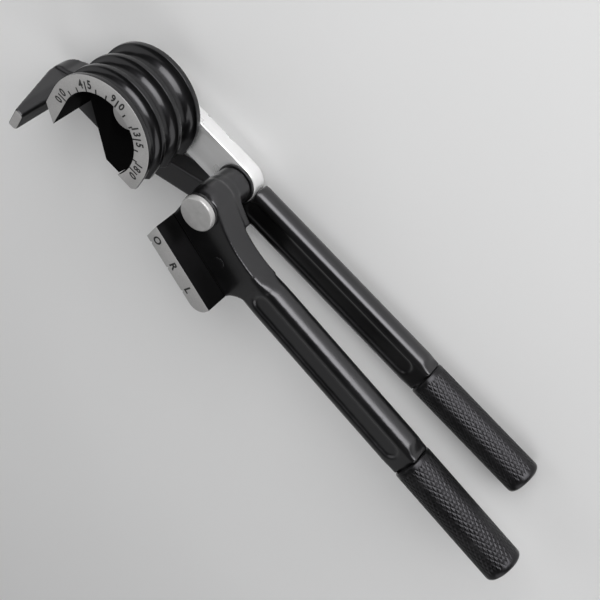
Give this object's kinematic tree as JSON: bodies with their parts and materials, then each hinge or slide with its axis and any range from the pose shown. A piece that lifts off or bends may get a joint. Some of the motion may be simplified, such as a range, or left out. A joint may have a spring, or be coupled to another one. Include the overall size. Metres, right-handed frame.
{
  "type": "tube bender",
  "caption": "Hand tube bender with a grooved forming wheel, degree scale and hook on one handle, and a swinging link with a grooved bending shoe on the other.",
  "frame": {"origin": "on the forming wheel's axis, in the plane that the tool lies on", "axes": "+Z along both hinge axes, out of the degree scale's face; +X along the forming handle, towards its grip; +Y away from the hook's side, across the handle"},
  "size_m": [0.2712, 0.0589, 0.0455],
  "materials": {
    "forging_black": "semi-gloss black coat on a steel forging",
    "bare_steel": "ground bare steel",
    "plated_steel": "bright plated steel",
    "grip_black": "black, fine diamond knurl"
  },
  "bodies": {
    "forming_side": {"forming_handle": "forging_black", "forming_wheel": "forging_black", "wheel_rivets": "bare_steel", "link_pivot_pin": "bare_steel", "web_washer": "bare_steel", "back_washer": "bare_steel", "link_collar": "bare_steel", "forming_grip": "grip_black"},
    "link_side": {"link": "plated_steel", "shoe_pivot_pin": "bare_steel", "hub_washer": "forging_black", "head_washer": "plated_steel"},
    "shoe_side": {"shoe_handle": "forging_black", "bending_shoe": "forging_black", "tongue_rivet": "forging_black", "shoe_grip": "grip_black"}
  },
  "joints": [
    {"name": "link_swing", "type": "hinge", "parent": "forming_side", "child": "link_side", "pos_m": [0, 0, 0], "axis": [0, 0, 1], "range_deg": [0, 180]},
    {"name": "shoe_swing", "type": "hinge", "parent": "link_side", "child": "shoe_side", "pos_m": [0.0466, 0, 0], "axis": [0, 0, -1], "range_deg": [0, 71]}
  ]
}
